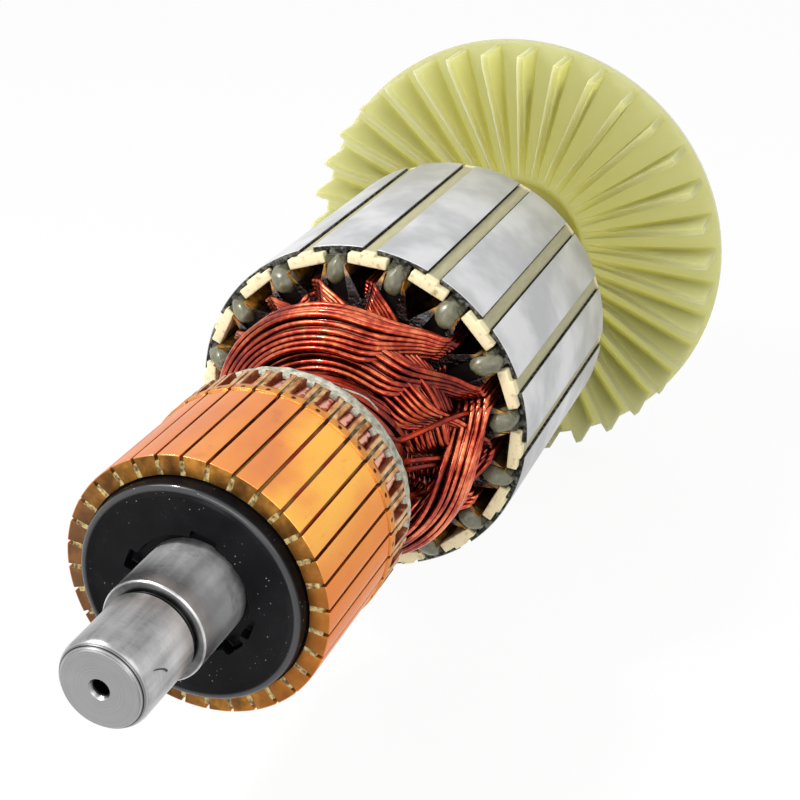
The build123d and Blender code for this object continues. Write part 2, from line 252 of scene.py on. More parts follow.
def apply_modifier(piece, kind, **settings):
    """Adds a modifier with these settings and applies it."""
    alone(piece)
    modifier = piece.modifiers.new(kind.title(), kind)
    for setting, value in settings.items():
        setattr(modifier, setting, value)
    bpy.ops.object.modifier_apply(modifier=modifier.name)


def cut_out(piece, cutter):
    """Cuts a cutter's shape out of a piece and takes the cutter away."""
    apply_modifier(piece, "BOOLEAN", operation="DIFFERENCE", object=cutter, solver="EXACT")
    bpy.data.objects.remove(cutter)


def turned(steps, segments, name):
    """Spins an outline of (x, radius) steps round the shaft's axis, as a lathe would leave it."""
    mesh = bpy.data.meshes.new(name)
    points = [(x * MM, 0, radius * MM) for x, radius in steps]
    mesh.from_pydata(points, [(i, i + 1) for i in range(len(points) - 1)], [])
    piece = placed(name, mesh)
    alone(piece)
    bpy.ops.object.mode_set(mode="EDIT")
    bpy.ops.mesh.select_all(action="SELECT")
    bpy.ops.mesh.spin(steps=segments, angle=2 * pi, center=(0, 0, 0), axis=(1, 0, 0))
    bpy.ops.mesh.select_all(action="SELECT")
    bpy.ops.mesh.remove_doubles(threshold=0.002 * MM)
    bpy.ops.mesh.normals_make_consistent(inside=False)
    bpy.ops.object.mode_set(mode="OBJECT")
    return piece


steel = Finish("turned_steel")
turning = steel.noise(900, 4, stretch=(14, 1, 1))
rings = steel.node(
    "ShaderNodeTexNoise", {"noise_dimensions": "1D"},
    {"W": steel.radius(), "Scale": 5200.0, "Detail": 2.0}, output="Fac",
)
blotches = steel.noise(160, 4)
streak_reflections = steel.noise(260, 3, stretch=(0.1, 1, 1))
grain = steel.noise(6000, 2)
behind_seat = steel.past(steel.x, POLISHED_TO, POLISHED_TO + 0.4)
past_fan = steel.past(steel.x, BRIGHT_FROM, BRIGHT_FROM + 1)
on_end = 1 - steel.past(steel.x, -6.28, -6.2)
in_groove = steel.between(steel.x, (5.0, 5.1), (5.86, 6.0))
end_ring = steel.between(steel.x, (-6.24, -6.1), (-5.5, -5.3))
in_hole = (1 - steel.past(steel.radius(), 1.02, 1.1)) * steel.past(steel.x, -6.1, -5.7)
grime = steel.step(steel.noise(420, 5), 0.42, 0.7) * behind_seat * (1 - past_fan * 0.75)
# The steel's tone mixes random blotches and turning marks with dark lengthwise streaks, which are painted
# reflections.
tone = steel.ramp(
    blotches * 0.3 + turning * 0.12 + streak_reflections * 0.58,
    (0.32, (0.15, 0.15, 0.155)), (0.46, (0.42, 0.42, 0.425)), (0.62, (0.76, 0.76, 0.76)),
)
faced = steel.blend(rings * 0.5 + blotches * 0.5, (0.24, 0.24, 0.24), (0.42, 0.42, 0.42))
# At the front end the chamfer and its small groove get rings of near black and grey: painted shade of the
# groove, laid in turned rings.
end_groove_shade = steel.blend(steel.step(rings, 0.4, 0.6), (0.02, 0.02, 0.02), (0.4, 0.4, 0.4))
ground_steel = steel.blend(end_ring, steel.blend(on_end, tone, faced), end_groove_shade)
# The front centre hole is painted near black: painted shade.
with_hole_shade = steel.blend(in_hole, ground_steel, SHADOW)
# A small crescent nick on the seat, low on the side that the photo shows.
NICK_X, NICK_ANGLE, NICK_WIDTH, NICK_SAG, NICK_SLANT = -2.5, 76.0, 8.5, 0.5, 0.15
seat_around = steel.turn(NICK_ANGLE)
sag = (1 - (seat_around / NICK_WIDTH) ** 2) * NICK_SAG * MM
across_nick = (steel.x - NICK_X * MM - seat_around * NICK_SLANT * MM - sag).math("ABSOLUTE")
nick_ends = steel.step(seat_around.math("ABSOLUTE"), NICK_WIDTH * 0.8, NICK_WIDTH)
in_nick = (1 - steel.past(across_nick, 0.12, 0.28)) * (1 - nick_ends)
with_hole_shade = steel.blend(in_nick * 0.9, with_hole_shade, (0.03, 0.03, 0.03))
# Random grime goes on top; this colour still holds the painted shade in the hole.
grimy_with_hole_shade = steel.blend(grime * 0.5, with_hole_shade, (0.1, 0.1, 0.105))
dulled = steel.past(steel.x, 6.0, POLISHED_TO) * (1 - past_fan)
# The relief groove at the end of the front seat is painted near black: painted shade.
steel.set(
    Metallic=1 - dulled * 0.55,
    Base_Color=steel.blend(in_groove * 0.9, grimy_with_hole_shade, SHADOW),
    Roughness=turning * 0.16 + blotches * 0.14 + grime * 0.2 + on_end * 0.15 + 0.16,
)
marks = in_nick * -6 + turning + rings * on_end * 0.5
steel.bump(marks + grain * behind_seat * 2 + grain * 0.3, 0.3, 0.02)

shaft = turned(SHAFT_STEPS, 96, "shaft_turned")
CUTTER_HEIGHT = 4
seat_middle = (KEY_SEAT["from"] + KEY_SEAT["to"]) / 2
cutter_middle = KEY_SEAT["floor"] + CUTTER_HEIGHT / 2
bpy.ops.mesh.primitive_cube_add(size=1, location=(seat_middle * MM, 0, cutter_middle * MM))
cutter = bpy.context.active_object
cutter.scale = Vector((KEY_SEAT["to"] - KEY_SEAT["from"], KEY_SEAT["width"], CUTTER_HEIGHT)) * MM
alone(cutter)
bpy.ops.object.transform_apply(location=True, rotation=True, scale=True)
bpy.ops.object.mode_set(mode="EDIT")
bpy.ops.mesh.select_all(action="DESELECT")
cut_mesh = bmesh.from_edit_mesh(cutter.data)
for edge in cut_mesh.edges:
    edge.select = abs(edge.verts[0].co.z - edge.verts[1].co.z) > 1 * MM
cut_mesh.select_flush(True)
bmesh.update_edit_mesh(cutter.data)
bpy.ops.mesh.bevel(offset=KEY_SEAT["width"] * 0.495 * MM, segments=8, affect="EDGES")
bpy.ops.object.mode_set(mode="OBJECT")
cut_out(shaft, cutter)

tooth_foot = THREAD["root"] - 0.15
tooth_half = THREAD["pitch"] * 0.46
tooth = [(0, tooth_foot), (0.85, THREAD["crest"]), (1.15, THREAD["crest"]), (2, tooth_foot)]
ridge = bpy.data.meshes.new("thread_ridge")
ridge.from_pydata(
    [((THREAD["from"] + tooth_half * halves) * MM, 0, radius * MM) for halves, radius in tooth],
    [(0, 1), (1, 2), (2, 3), (3, 0)],
    [],
)
thread = placed("thread_ridge", ridge)
turns = int((THREAD["to"] - THREAD["from"]) / THREAD["pitch"]) - 1
apply_modifier(
    thread, "SCREW", axis="X", angle=2 * pi, screw_offset=THREAD["pitch"] * MM,
    iterations=turns, steps=40, render_steps=40, use_normal_calculate=True,
)
alone(thread)
bpy.ops.object.mode_set(mode="EDIT")
bpy.ops.mesh.select_all(action="SELECT")
bpy.ops.mesh.remove_doubles(threshold=0.001 * MM)
bpy.ops.mesh.fill_holes(sides=4)
bpy.ops.mesh.normals_make_consistent(inside=False)
bpy.ops.object.mode_set(mode="OBJECT")
joined(shaft, thread)
finished(shaft, "shaft_steel", steel, ["shaft"], smooth=28)

# Insulating sleeve: a plain moulded tube pressed on the shaft, so that neither the core nor
# the coils touch the steel. Only its ends show, deep behind the windings.
sleeve_finish = Finish("sleeve_resin", Roughness=0.45)
cloud = sleeve_finish.noise(300, 4)
sleeve_finish.set(Base_Color=sleeve_finish.blend(cloud, (0.5, 0.47, 0.38), (0.68, 0.65, 0.55)))
sleeve_finish.bump(cloud, 0.2, 0.05)
cad_nodes = frame["nodes"]


def merged_copy(node):
    """A copy of a CAD node's mesh with its loose triangles merged into faces."""
    piece = cad_nodes[node].copy()
    piece.data = cad_nodes[node].data.copy()
    piece.parent = None
    del piece["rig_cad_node"]
    bpy.context.scene.collection.objects.link(piece)
    alone(piece)
    bpy.ops.object.mode_set(mode="EDIT")
    bpy.ops.mesh.select_all(action="SELECT")
    bpy.ops.mesh.remove_doubles(threshold=0.001 * MM)
    bpy.ops.mesh.dissolve_limited(angle_limit=radians(0.8))
    bpy.ops.object.mode_set(mode="OBJECT")
    return piece


def eased(piece, width, segments=2):
    """Rounds a piece's edges."""
    apply_modifier(
        piece, "BEVEL", width=width * MM, segments=segments, limit_method="ANGLE",
        angle_limit=radians(30), harden_normals=False,
    )


sleeve = merged_copy("shaft_sleeve")
eased(sleeve, 0.2)
finished(sleeve, "sleeve_tube", sleeve_finish, ["shaft_sleeve"])

# Laminated core: about ninety stamped sheets of silicon steel, stacked, pressed on the sleeve
# and ground round as one. The slots' mouths are narrow, and the ground face shines.
CORE_FRONT = 71.1
CORE_REAR = 117.1
CORE_RADIUS = 27.0
core_finish = Finish("ground_laminations", Metallic=0.75)
sheets = core_finish.node(
    "ShaderNodeTexWave", {"wave_type": "BANDS", "bands_direction": "X"},
    {"Vector": core_finish.place, "Scale": 320.0, "Distortion": 0.6, "Detail": 2.0}, output="Fac",
)
ground = core_finish.noise(300, 4, stretch=(10, 1, 1))
clouds = core_finish.noise(85, 3)
cloudy = core_finish.step(clouds, 0.35, 0.65)
mottled = core_finish.step(core_finish.noise(1400, 4), 0.42, 0.66)
on_rim = core_finish.past(core_finish.radius(), CORE_RADIUS - 0.16, CORE_RADIUS - 0.05)
outside = core_finish.blend(cloudy, (0.48, 0.483, 0.49), (0.68, 0.68, 0.69))
end_face = core_finish.blend(mottled, (0.015, 0.016, 0.012), (0.17, 0.17, 0.15))
core_finish.set(
    Base_Color=core_finish.blend(on_rim, end_face, outside),
    Roughness=ground * 0.12 + clouds * 0.1 + 0.34 + (1 - on_rim) * 0.2,
)
core_finish.bump(sheets * 0.5 + ground * 0.5, 0.12, 0.02)
core = merged_copy("core_laminations")
eased(core, 0.08)
finished(core, "core_stack", core_finish, ["core_laminations"])

# End coating: resin powder fused on the core's two ends, thick on the teeth, where it pulls up
# into olive-grey lumps with a soft skin. It keeps the wires off the sharp sheet edges.
SLOTS = 16
SLOT_PHASE = 4.05
SLOT_PITCH = 360 / SLOTS
PLATE_THICKNESS = 1.4
DROP_RADIUS = 23.75
coating = Finish(
    "olive_coating", Coat_Weight=0.35, Coat_Roughness=0.2, Subsurface_Weight=0.35,
    Subsurface_Scale=1.2 * MM, Subsurface_Radius=(1.0, 0.9, 0.6),
)
murk = coating.noise(900, 5)
drop_tone = coating.blend(murk, (0.035, 0.034, 0.018), (0.24, 0.235, 0.145))
flecked = coating.blend(coating.specks(2600, 0.12) * 0.3, drop_tone, (0.42, 0.42, 0.34))
coating.set(Base_Color=flecked, Roughness=murk * 0.3 + 0.2)
coating.bump(murk, 0.35, 0.1)
plate_finish = Finish("end_plate_coating", Specular_IOR_Level=0.12)
soot = plate_finish.noise(1300, 4)
plate_rim = plate_finish.past(plate_finish.radius(), 23.0, 25.0)
rim_tone = plate_finish.blend(soot, (0.02, 0.02, 0.012), (0.16, 0.155, 0.1))
# The plate is near black inside a radius of 23 mm and turns olive toward the rim, with random darker
# flecks.
plate_finish.set(
    Base_Color=plate_finish.blend(plate_rim, (0.006, 0.004, 0.003), rim_tone),
    Roughness=soot * 0.3 + 0.5,
)
plate_finish.bump(soot, 0.4, 0.1)


def round_axis(piece, angle):
    """Turns a piece's mesh about the shaft's axis, by degrees from the top."""
    piece.data.transform(Matrix.Rotation(radians(angle), 4, "X"))


def resin_drop(tooth, chance, face_x, outward):
    """A soft drop of resin on a tooth's end, which sagged to one side before it set."""
    bpy.ops.mesh.primitive_uv_sphere_add(segments=24, ring_count=16, radius=1)
    drop = bpy.context.active_object
    wide = 1.75 + chance.uniform(-0.2, 0.3)
    tall = 2.3 + chance.uniform(-0.15, 0.2)
    proud = 2.1 + chance.uniform(-0.2, 0.4)
    lean = 0.35 * sin(tooth * 2.4)
    for vertex in drop.data.vertices:
        x, y, z = vertex.co
        neck = 1 - 0.3 * max(0.0, z) ** 2
        wobble = 1 + 0.1 * noise.noise(Vector((x * 1.6 + tooth * 3, y * 1.6, z * 1.6)))
        vertex.co = (
            (face_x + outward * (0.9 + proud * x * wobble * (1 - 0.25 * z))) * MM,
            (wide * y * neck * wobble + lean * z) * MM,
            (DROP_RADIUS + tall * z * wobble) * MM,
        )
    round_axis(drop, SLOT_PHASE + SLOT_PITCH * (tooth + 0.5))
    return drop


def end_coat(side, face_x, outward, seed):
    """One end's coating: the plate with its edges rounded, and a drop of resin on each tooth."""
    node = f"end_insulator_{side}"
    plate = merged_copy(node)
    eased(plate, 0.3, 3)
    for vertex in plate.data.vertices:
        off_face = outward * (vertex.co.x - face_x * MM)
        vertex.co.x = face_x * MM + outward * min(off_face, PLATE_THICKNESS * MM)
    chance = Random(seed)
    drops = [resin_drop(tooth, chance, face_x, outward) for tooth in range(SLOTS)]
    joined(*drops)
    finished(drops[0], f"resin_drops_{side}", coating, [], smooth=50)
    finished(plate, f"end_coat_{side}", plate_finish, [node], smooth=50)


end_coat("front", CORE_FRONT, -1, seed=85)
end_coat("rear", CORE_REAR, 1, seed=130)

# Slot liners: varnished paper folded into each slot before winding. Their ends stand out of
# the core and curl a little. The paper is amber at its outer edge and painted near black further
# in: painted shade in the slot.
LINER_PROUD = 2.1
CURL = 0.35
liner_finish = Finish("amber_paper", Coat_Roughness=0.06)
stain = liner_finish.noise(700, 5)
wet = liner_finish.noise(1700, 3)
# Inside a radius of about 22 mm the paper is painted near black: painted shade in the slot.
past_slot_shade = liner_finish.past(liner_finish.radius(), 22.3, 23.6)
amber = liner_finish.ramp(
    stain, (0.3, (0.05, 0.018, 0.002)), (0.5, (0.33, 0.14, 0.012)), (0.75, (0.6, 0.34, 0.07))
)
liner_finish.set(
    Base_Color=liner_finish.blend(past_slot_shade, (0.006, 0.003, 0.002), amber),
    Roughness=past_slot_shade * 0.2 + 0.25,
    Coat_Weight=past_slot_shade * -0.2 + 0.4,
)
liner_finish.bump(wet * (1 - past_slot_shade) * 2 + stain, 0.9, 0.4)
liners = merged_copy("slot_liners")
apply_modifier(liners, "SUBSURF", subdivision_type="SIMPLE", levels=1, render_levels=1)
for vertex in liners.data.vertices:
    along = vertex.co.x / MM
    out = max(CORE_FRONT - along, along - CORE_REAR, 0) / LINER_PROUD
    ripple = noise.noise(vertex.co * 900) * CURL * out
    vertex.co.x += ripple * MM
    vertex.co.y *= 1 + ripple * 0.012
    vertex.co.z *= 1 + ripple * 0.012
finished(liners, "paper_liners", liner_finish, ["slot_liners"])

# Coils: sixteen, wound by machine straight into the slots, in eight layers of two opposite
# coils. Each is some twenty turns of enamelled copper wire, drawn taut over the layers below.
LAYERS = 8
SPAN = 7
WIRE = 0.88
enamel = Finish("wire_enamel", Metallic=0.95, Coat_Roughness=0.06, Coat_Weight=0.5)
fine = enamel.noise(1200, 3)
varnish = enamel.step(enamel.noise(110, 2), 0.58, 0.75)
copper_tone = enamel.ramp(
    enamel.noise(150, 3) * 0.78 + fine * 0.22,
    (0.36, (0.15, 0.006, 0.002)), (0.5, (0.48, 0.044, 0.012)), (0.64, (0.94, 0.24, 0.1)),
)
wire_tone = enamel.blend(varnish * 0.5, copper_tone, (0.58, 0.16, 0.02))
# The wires are painted near black in crevices, found by ambient occlusion: painted shade.
clear_of_crevice_shade = enamel.step(enamel.openness(1.6), 0.3, 1.0)
enamel.set(
    Base_Color=enamel.blend(clear_of_crevice_shade, (0.05, 0.002, 0.001), wire_tone), Roughness=fine * 0.12 + 0.13
)
# Each layer's heap in millimetres. The innermost wires hug a circle round the sleeve, one for
# each of its two coils, and the lanes make a ribbon outside it. The crown is the heap's height
# off the core in front. Its wires leave one slot, and enter another, at a radius that grows by
# a spread from the first lane to the last.
HEAPS = [
    {"hug": (10.4, 10.4), "ribbon": (3.6, 3.6), "crown": 2.9, "leave": (15.2, 3.0), "enter": (15.2, 3.0)},
    {"hug": (10.4, 10.4), "ribbon": (3.6, 3.6), "crown": 5.0, "leave": (15.2, 3.0), "enter": (15.2, 3.0)},
    {"hug": (11.0, 11.0), "ribbon": (6.0, 5.2), "crown": 7.2, "leave": (17.9, 4.3), "enter": (16.2, 4.0)},
    {"hug": (11.2, 11.2), "ribbon": (5.8, 5.0), "crown": 9.2, "leave": (17.9, 4.3), "enter": (16.2, 4.0)},
    {"hug": (11.2, 11.4), "ribbon": (5.6, 4.8), "crown": 11.2, "leave": (17.9, 4.3), "enter": (16.2, 4.0)},
    {"hug": (11.2, 12.4), "ribbon": (4.6, 3.8), "crown": 13.4, "leave": (17.9, 4.3), "enter": (18.4, 3.4)},
    {"hug": (12.8, 15.4), "ribbon": (4.3, 3.8), "crown": 13.4, "leave": (17.9, 4.3), "enter": (18.4, 3.4)},
    {"hug": (15.3, 17.5), "ribbon": (4.9, 3.4), "crown": 12.8, "leave": (17.9, 4.3), "enter": (18.4, 3.4)},
]
# Behind the core the heaps stand most of the way to a full cone that rises to the shaft.
CONE = {"foot": 1.6, "layer": 1.65, "slope": 0.65, "rim": 20.7, "share": 0.75}
# How close the wires lie, in wire thicknesses, and how far single wires wander.
LANE_STEP, ROW_STEP, FIRST_INSET, ROW_INSET = 0.93, 0.82, 0.55, 0.75
SWAY, LIFT, WAVES = 0.3, 0.2, 1.9
CROWN_FALL = 0.28
IN_SLOT, AT_MOUTH = -6.0, -2.0
BEND_STEPS = 30
CLIMB = radians(30)


def slot_side(radius, inset):
    """The angle from a lined slot's middle to a wire at an inset from its side."""
    return max(0.1989 * radius - 2.2 - inset, 0.3) / radius


def rear_crown(layer, radius, front_crown):
    """How far a layer's wires stand off the core's fan end where they pass the shaft."""
    rise = CONE["slope"] * (CONE["rim"] - radius) * (layer + 2) / LAYERS
    cone = CONE["foot"] + CONE["layer"] * (layer + 1) + rise
    return front_crown + (cone - front_crown) * CONE["share"]


def taut_radius(hug, start, finish, angle, left):
    """A taut wire's radius: straight off its slot, round the sleeve and straight to the next."""
    leave = acos(hug / start)
    arrive = acos(hug / finish)
    if angle < leave:
        return hug / cos(leave - angle)
    if left < arrive:
        return hug / cos(arrive - left)
    return hug


def wire_bundle(name, thickness, roundness):
    """An empty curve whose strands are round wire with capped ends."""
    curve = bpy.data.curves.new(name, "CURVE")
    curve.dimensions = "3D"
    curve.bevel_depth = thickness / 2 * MM
    curve.bevel_resolution = roundness
    curve.use_fill_caps = True
    return curve


def lay_strand(curve, points, smoothness):
    """Adds a strand along points of x and radius in millimetres and an angle in radians."""
    strand = curve.splines.new("NURBS")
    strand.points.add(len(points) - 1)
    for point, (x, radius, angle) in zip(strand.points, points):
        point.co = (x * MM, -sin(angle) * radius * MM, cos(angle) * radius * MM, 1.0)
    strand.order_u = 3
    strand.use_endpoint_u = True
    strand.resolution_u = smoothness


def strands_mesh(name, curve):
    """Turns a bundle of strands into a mesh."""
    alone(placed(name, curve))
    bpy.ops.object.convert(target="MESH")
    return bpy.context.active_object


def coil_wires(layer, opposite, name):
    """One coil's wires at both ends of the core, as taut round strands side by side."""
    curve = wire_bundle(name, WIRE, 2)
    chance = Random(100 + 2 * layer + opposite)
    first_angle = radians(SLOT_PHASE + SLOT_PITCH * (2 - layer) + 180 * opposite)
    span = radians(SPAN * SLOT_PITCH)
    heap = HEAPS[layer]
    ribbon = heap["ribbon"][opposite]
    lanes = round(ribbon / (WIRE * LANE_STEP)) + 1
    front_rows = 4 if lanes < 6 else 3
    stand = 1.9 + 0.3 * layer
    for end, rows in ((-1, front_rows), (1, front_rows + 1)):
        for row, lane in product(range(rows), range(lanes)):
            share = lane / (lanes - 1)
            start = heap["leave"][0] + heap["leave"][1] * share
            finish = heap["enter"][0] + heap["enter"][1] * share
            hug = heap["hug"][opposite] + ribbon * share + chance.uniform(-0.15, 0.15)
            hug = min(hug, start - 0.5, finish - 0.5)
            inset = WIRE * (FIRST_INSET + ROW_INSET * (rows - 1 - row))
            from_side = slot_side(start, inset)
            to_side = slot_side(finish, inset)
            sweep = span - from_side - to_side
            top = heap["crown"] * (1 - CROWN_FALL * share)
            if end > 0:
                top = rear_crown(layer, hug, top)
            path = [(out, start, from_side) for out in (IN_SLOT, AT_MOUTH, stand - 1)]
            for step in range(BEND_STEPS + 1):
                angle = sweep * step / BEND_STEPS
                climbed = min(1.0, min(angle, sweep - angle) / CLIMB)
                rise = climbed * climbed * (3 - 2 * climbed)
                out = stand + (top - stand) * rise + (row - rows + 1) * WIRE * ROW_STEP
                radius = taut_radius(hug, start, finish, angle, sweep - angle)
                path.append((out, radius, angle + from_side))
            path += [(out, finish, span - to_side) for out in (stand - 1, AT_MOUTH, IN_SLOT)]
            seed = lane * 7.3 + row * 3.1 + layer * 1.7 + opposite * 11.0
            strand = []
            for out, radius, angle in path:
                loose = 1.0 if out > 2.5 else 0.1
                sway = SWAY * loose * noise.noise(Vector((angle * WAVES, seed, 0.5)))
                lift = LIFT * loose * noise.noise(Vector((angle * WAVES, 4.5, seed)))
                x = CORE_FRONT - out - lift if end < 0 else CORE_REAR + out + lift
                strand.append((x, radius + sway, first_angle + angle))
            lay_strand(curve, strand, 1)
    return strands_mesh(name, curve)


for layer in range(LAYERS):
    for opposite in (0, 1):
        label = f"{2 * layer + opposite + 1:02d}"
        wires = coil_wires(layer, opposite, f"wires_{label}")
        finished(wires, f"wires_{label}", enamel, [f"coil_{label}"], smooth=80)

# Slot wedges: T-shaped strips of cream laminate pushed in from the end to close the slots. The
# head lies under the tooth tips, and the stem fills the mouth, dull olive along the core.
wedge_finish = Finish("wedge_laminate", Roughness=0.55)
fibre = wedge_finish.noise(260, 4, stretch=(1, 8, 8))
dirt = wedge_finish.noise(900, 4)
core_middle = (CORE_FRONT + CORE_REAR) / 2
core_half = (CORE_REAR - CORE_FRONT) / 2
off_core = (wedge_finish.x - core_middle * MM).math("ABSOLUTE")
on_head = wedge_finish.past(off_core, core_half - 0.4, core_half + 0.3)
around = wedge_finish.turn(SLOT_PHASE)
off_slot = around.math("WRAP", SLOT_PITCH / 2, -SLOT_PITCH / 2).math("ABSOLUTE")
# Near each side of a slot's mouth the laminate is painted almost black, with ragged edges: painted shade
# in the gap beside the stem.
at_side = wedge_finish.step(off_slot + dirt * 0.7, 2.1, 2.6)
laminate = wedge_finish.blend(fibre, (0.30, 0.28, 0.15), (0.52, 0.49, 0.3))
laminate_with_side_shade = wedge_finish.blend(at_side * 0.9, laminate, (0.04, 0.036, 0.02))
clean = wedge_finish.step(dirt, 0.22, 0.48)
cream = wedge_finish.blend(clean, (0.42, 0.3, 0.12), (0.8, 0.7, 0.44))
wedge_finish.set(Base_Color=wedge_finish.blend(on_head, laminate_with_side_shade, cream))
wedge_finish.bump(fibre + dirt * 0.5, 0.3, 0.05)
wedges = merged_copy("slot_wedges")
eased(wedges, 0.42, 3)
finished(wedges, "wedge_strips", wedge_finish, ["slot_wedges"])

# Commutator hub: black phenolic moulding that grips the bars' dovetails. Its front disc has a
# raised rim bead, and a recess with four keyways round the shaft.
HUB_STEPS = [
    (16.7, 7.0), (16.7, 8.1), (15.05, 8.2), (14.9, 8.35), (14.9, 13.4), (14.85, 13.7), (14.62, 14.2),
    (14.52, 14.6), (14.55, 14.95), (14.75, 15.2), (15.1, 15.34), (17.05, 15.42), (17.05, 15.62),
    (42.7, 15.0), (42.7, 7.0), (16.7, 7.0),
]
# Each keyway's angle from the top in degrees, and its width in millimetres.
KEYWAYS = ((-67.5, 3.0), (16.5, 3.6), (112.0, 3.2), (138.0, 3.2))
hub_finish = Finish("phenolic_moulding", Specular_IOR_Level=0.09)
sheen = hub_finish.noise(240, 4)
dust = hub_finish.specks(1200, 0.1) * hub_finish.step(hub_finish.noise(500, 3), 0.47, 0.58)
powder = hub_finish.step(hub_finish.noise(5200, 3), 0.55, 0.75) * hub_finish.step(sheen, 0.5, 0.7)
on_bead = hub_finish.between(hub_finish.radius(), (14.3, 14.7), (15.1, 15.3))
black = hub_finish.blend(sheen, (0.001, 0.001, 0.0015), (0.006, 0.006, 0.007))
# The rim bead is painted a lighter grey than the rest of the black: a painted highlight.
black_with_bead_highlight = hub_finish.blend(on_bead, black, (0.035, 0.035, 0.038))
dusty = hub_finish.blend(dust, black_with_bead_highlight, (0.35, 0.35, 0.35))
hub_finish.set(
    Base_Color=hub_finish.blend(powder * 0.3, dusty, (0.06, 0.06, 0.06)),
    Coat_Weight=on_bead * 0.8,
    Roughness=sheen * 0.2 + powder * 0.25 + 0.2,
)
hub_finish.bump(hub_finish.noise(3500, 3), 0.2, 0.03)
hub = turned(HUB_STEPS, 128, "hub")
for middle, breadth in KEYWAYS:
    bpy.ops.mesh.primitive_cube_add(size=1)
    key = bpy.context.active_object
    for vertex in key.data.vertices:
        x, y, z = vertex.co
        vertex.co = ((15.6 + 2.2 * x) * MM, breadth * y * MM, (8.2 + 2.0 * z) * MM)
    round_axis(key, middle)
    eased(key, 0.3)
    cut_out(hub, key)
finished(hub, "hub_moulding", hub_finish, ["commutator_hub"])

# Commutator bars: thirty-two hard copper segments, machined together. The brush track is turned
# smooth, and each riser keeps its saw slot, where the wires are fused.
BARS = 32
BAR_PITCH = 360 / BARS
BAR_PHASE = 3.5
PIT_X = 37.05
bar_finish = Finish("commutator_copper", Metallic=0.95)
glow = bar_finish.noise(75, 3, stretch=(0.7, 1, 1))
rub = bar_finish.noise(700, 4, stretch=(6, 1, 1))
smear = bar_finish.step(bar_finish.noise(330, 4, stretch=(1, 1, 3)), 0.6, 0.75)
burnt = bar_finish.noise(420, 3)
on_track = bar_finish.past(bar_finish.radius(), 18.2, 18.33)
on_riser = bar_finish.past(bar_finish.x, 36.2, 36.5)
past_step = bar_finish.past(bar_finish.x, 37.6, 38.0)
bar_around = bar_finish.turn(BAR_PHASE)


def facing(angle, outer, inner):
    """1 on the bars that face an angle, fading out between two distances from it in degrees."""
    return bar_finish.step((bar_around - angle).math("WRAP", 180, -180).math("ABSOLUTE"), outer, inner)


# Over its random tone the track is painted by side: a yellow painted highlight toward 40 degrees, pinker
# toward -35 degrees, and redder and darker toward 105 degrees, as painted light and shade.
shaded_side = facing(105, 62, 20)
highlighted_side = facing(40, 30, 8) * bar_finish.step(glow, 0.38, 0.6)
track_colour = bar_finish.ramp(
    glow * 0.7 + 0.3 * 0.47,
    (0.3, (0.72, 0.235, 0.11)), (0.47, (0.9, 0.335, 0.09)), (0.66, (0.98, 0.5, 0.125)),
)
track_colour = bar_finish.blend(facing(-35, 58, 10) * 0.6, track_colour, (0.82, 0.31, 0.17))
track_colour = bar_finish.blend(shaded_side * 0.75, track_colour, (0.72, 0.2, 0.045))
track_colour = bar_finish.blend(highlighted_side * 0.8, track_colour, (1.0, 0.54, 0.1))
cut_colour = bar_finish.ramp(
    bar_finish.noise(320, 4),
    (0.34, (0.12, 0.05, 0.012)), (0.5, (0.25, 0.11, 0.022)), (0.66, (0.5, 0.22, 0.04)),
)
# The bars' cut sides are painted redder toward 105 degrees and darker toward -95 degrees: painted shade by
# side.
cut_colour = bar_finish.blend(shaded_side * 0.6, cut_colour, (0.42, 0.14, 0.025))
cut_colour = bar_finish.blend(facing(-95, 60, 15) * 0.7, cut_colour, (0.14, 0.07, 0.04))
off_bar = bar_around.math("WRAP", BAR_PITCH / 2, -BAR_PITCH / 2) * radians(1) * bar_finish.radius()
off_pit = ((bar_finish.x - PIT_X * MM) ** 2 + off_bar ** 2).math("SQRT")
pit = 1 - bar_finish.past(off_pit, 0.26, 0.42)
step_colour = bar_finish.blend(bar_finish.noise(800, 4), (0.5, 0.16, 0.028), (0.88, 0.4, 0.09))
stepped = bar_finish.blend(pit * on_riser, step_colour, (0.1, 0.008, 0.003))
riser_colour = bar_finish.ramp(
    burnt, (0.34, (0.36, 0.13, 0.035)), (0.46, (0.62, 0.32, 0.12)), (0.66, (0.82, 0.53, 0.29))
)
slot_edge = (1 - bar_finish.past(off_bar.math("ABSOLUTE"), 0.85, 1.05)) * 0.85
riser_colour = bar_finish.blend(slot_edge, riser_colour, (0.2, 0.022, 0.009))
riser = bar_finish.blend(past_step, stepped, riser_colour)
whole = bar_finish.blend(on_riser, bar_finish.blend(on_track, cut_colour, track_colour), riser)
bar_finish.set(
    Base_Color=bar_finish.blend(smear * 0.2, whole, (0.4, 0.17, 0.06)),
    Roughness=rub * 0.16 + (1 - on_track) * 0.25 + on_riser * 0.12 + 0.2,
)
bar_finish.bump(rub + smear * 0.3 + burnt * on_riser * 2, 0.12, 0.03)
# The riser is cut across at stations so that its walls can bend. Where they are staked, they
# lean to one side above a height and dip at both ends. In the riser's top the bar's sides are
# spread a little, and the slot's walls are thinned and start further back.
STATIONS = (37.3, 38.3, 39.5, 40.8, 41.9)
STAKED_FROM, STAKED_TO = 36.9, 42.5
LEAN_FROM, LEAN_HEIGHT, LEAN, DIP = 16.6, 2.0, 0.12, 0.12
TOP_FROM, SIDE_FROM, SIDE_SPREAD = 17.4, 0.8, 0.11
THINNED, LESS_AT_MIDDLE, THINNED_BY_CHANCE, SET_BACK = 0.42, 0.2, 0.1, 0.7
bar = merged_copy("commutator_bar_01")
eased(bar, 0.06)
alone(bar)
bpy.ops.object.mode_set(mode="EDIT")
for station in STATIONS:
    bpy.ops.mesh.select_all(action="SELECT")
    bpy.ops.mesh.bisect(plane_co=(station * MM, 0, 0), plane_no=(1, 0, 0))
